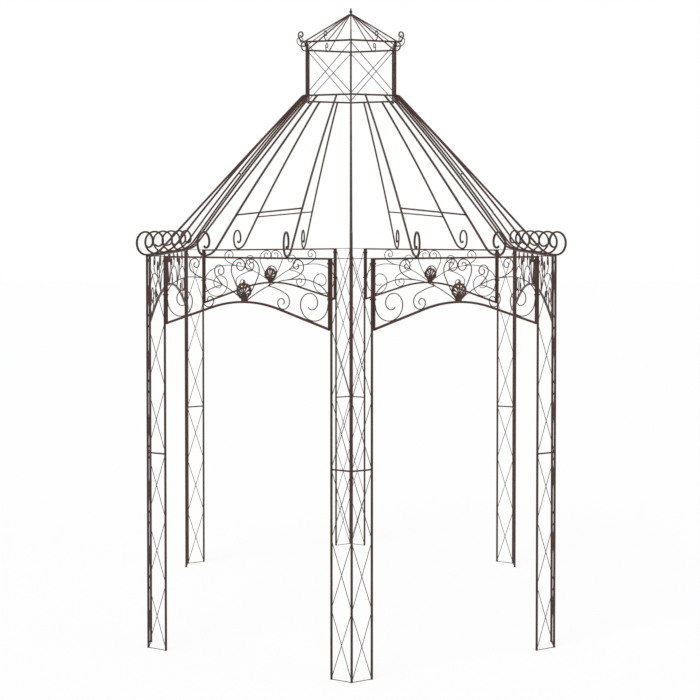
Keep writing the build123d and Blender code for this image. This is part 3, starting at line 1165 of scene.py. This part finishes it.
# Purlins
def reach_at(points, height):
    """How far out a rod's slope comes down to a height."""
    for (x0, z0), (x1, z1) in zip(points, points[1:]):
        if z0 > height >= z1:
            return x0 + (x1 - x0) * (z0 - height) / (z0 - z1)


def purlin_end(index, share, height):
    """Where a purlin at a height meets one rafter of a bay."""
    inner, outer = rafter_ends(index, share)
    reach = reach_at(rafter_points(inner, outer, mid_bow), height)
    return np.array((*along(inner, outer, reach / length_between(inner, outer)), height))


def purlin_places(index):
    """The two rafters of a bay that carry its purlin, and its rise at each."""
    if is_side(bay_names[index]):
        return side_bay_rafters[1:3], (side_purlin_rise, side_purlin_rise)
    a, b = bay_ends(corners, index)
    tilt = end_purlin_tilt if abs(a[1]) > abs(b[1]) else -end_purlin_tilt
    return end_bay_rafters, (end_purlin_rise + tilt, end_purlin_rise - tilt)


def add_purlin(shells, start, end):
    """One bar between the faces of two rafters, welded above and below."""
    way = (end - start) / np.linalg.norm(end - start)
    side = np.cross(way, up)
    side /= np.linalg.norm(side)
    first = start + way * (rafter_bar / 2 - weld)
    last = end - way * (rafter_bar / 2 - weld)
    shells.bar(first, last, side, square_section(purlin_bar, rounding=0.16))
    for spot in (first, last):
        for edge in (-purlin_bar / 2, purlin_bar / 2):
            shells.bead(spot + up * edge, rafter_bead, side, stretch=1.6)


def purlins():
    """Level bars on the long bays, and slightly tilted ones on the short bays."""
    shells = Shells()
    for index in range(len(bay_names)):
        places = zip(*purlin_places(index))
        start, end = [purlin_end(index, share, post_height + rise) for share, rise in places]
        add_purlin(shells, start, end)
    shells.build("roof_purlin_bars", bar_iron, ["roof_purlins"])


def ring_welds():
    """Weld beads where the rings of the lantern meet its posts."""
    shells = Shells()
    beside = lantern_bar * 0.55
    for x, y in lantern_corners:
        for ring in (lower_ring_height, upper_ring_height):
            for side in (-1, 1):
                spot = np.array((x, y + side * beside, ring))
                shells.bead(spot, ring_bead, up, stretch=1.7)
    shells.build("ring_welds", bar_iron)


def plain_bars():
    """The solids that show as they are get the finish of the other bars."""
    for name in ("lantern_posts", "lantern_lower_ring", "lantern_upper_ring"):
        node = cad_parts[name]
        node.data.materials.clear()
        node.data.materials.append(bar_iron)


posts()
friezes()
rafters()
lantern_wires()
lantern_roof()
purlins()
ring_welds()
plain_bars()

# Floor, background and light. The glow is the share of the floor that shows as
# plain white, so that its shadow stays faint.
floor_reach = 60.0
floor_colour = (0.95, 0.95, 0.95, 1)
floor_roughness = 0.9
floor_glow = 0.85
ambient_light = 0.55
white = (1, 1, 1, 1)

# Viewpoint of the photograph: before the front post, a little above the eave
# and turned down a little, in degrees
camera_place = (-0.024, -10.519, 2.370)
camera_drop = 1.874
camera_turn = -0.102
camera_lens = 86.32
camera_sensor = 36
camera_shift = -0.1


def seen_or_mirrored(nodes, links):
    """1 for the rays of the camera and of mirrored or clear surfaces."""
    paths = nodes.new("ShaderNodeLightPath")
    total = paths.outputs["Is Camera Ray"]
    for name in ("Is Glossy Ray", "Is Transmission Ray"):
        add = nodes.new("ShaderNodeMath")
        add.operation = "ADD"
        add.use_clamp = True
        links.new(total, add.inputs[0])
        links.new(paths.outputs[name], add.inputs[1])
        total = add.outputs[0]
    return total


def mix_shaders(nodes, links, share, first, second):
    """The output of two shaders, mixed by a share of the second."""
    mix = nodes.new("ShaderNodeMixShader")
    for socket, output in zip(mix.inputs, (share, first, second)):
        links.new(output, socket)
    return mix.outputs[0]


def stage_floor():
    mesh = bpy.data.meshes.new("floor")
    signs = ((-1, -1), (1, -1), (1, 1), (-1, 1))
    mesh.from_pydata([(x * floor_reach, y * floor_reach, 0) for x, y in signs], [], [(0, 1, 2, 3)])
    floor = new_object("floor", mesh)
    material = bpy.data.materials.new("pale_floor")
    nodes, links = open_nodes(material)
    shader = nodes["Principled BSDF"]
    set_inputs(shader, {"Base Color": floor_colour, "Roughness": floor_roughness})
    glow = nodes.new("ShaderNodeEmission")
    set_inputs(glow, {"Color": white, "Strength": 1.0})
    share = nodes.new("ShaderNodeMath")
    share.operation = "MULTIPLY"
    share.inputs[1].default_value = floor_glow
    links.new(seen_or_mirrored(nodes, links), share.inputs[0])
    mixed = mix_shaders(nodes, links, share.outputs[0], shader.outputs[0], glow.outputs[0])
    links.new(mixed, nodes["Material Output"].inputs["Surface"])
    mesh.materials.append(material)


def studio_world():
    """White where it is seen or mirrored, softer where it lights."""
    world = bpy.data.worlds.new("studio")
    bpy.context.scene.world = world
    nodes, links = open_nodes(world)
    ambient = nodes["Background"]
    set_inputs(ambient, {"Color": white, "Strength": ambient_light})
    seen = nodes.new("ShaderNodeBackground")
    set_inputs(seen, {"Color": white, "Strength": 1.0})
    share = seen_or_mirrored(nodes, links)
    mixed = mix_shaders(nodes, links, share, ambient.outputs[0], seen.outputs[0])
    links.new(mixed, nodes["World Output"].inputs["Surface"])


def soft_sun(name, strength, size, azimuth, elevation):
    """A soft distant lamp that shines from an azimuth and an elevation."""
    light = bpy.data.lights.new(name, "SUN")
    light.energy = strength
    light.angle = radians(size)
    lamp = new_object(name, light)
    turn, lift = radians(azimuth), radians(elevation)
    back = Vector((sin(turn) * cos(lift), -cos(turn) * cos(lift), sin(lift)))
    lamp.rotation_mode = "QUATERNION"
    lamp.rotation_quaternion = (-back).to_track_quat("-Z", "Y")


def photo_camera():
    """The photograph's viewpoint, held nearly level."""
    data = bpy.data.cameras.new("camera")
    data.sensor_width = camera_sensor
    data.lens = camera_lens
    data.shift_y = camera_shift
    camera = new_object("camera", data)
    camera.location = camera_place
    camera.rotation_euler = (radians(90 - camera_drop), 0, radians(camera_turn))
    bpy.context.scene.camera = camera


stage_floor()
studio_world()
soft_sun("key", strength=1.4, size=25, azimuth=-35, elevation=48)
soft_sun("fill", strength=0.6, size=40, azimuth=60, elevation=30)
photo_camera()
bpy.context.scene.view_settings.view_transform = "Standard"
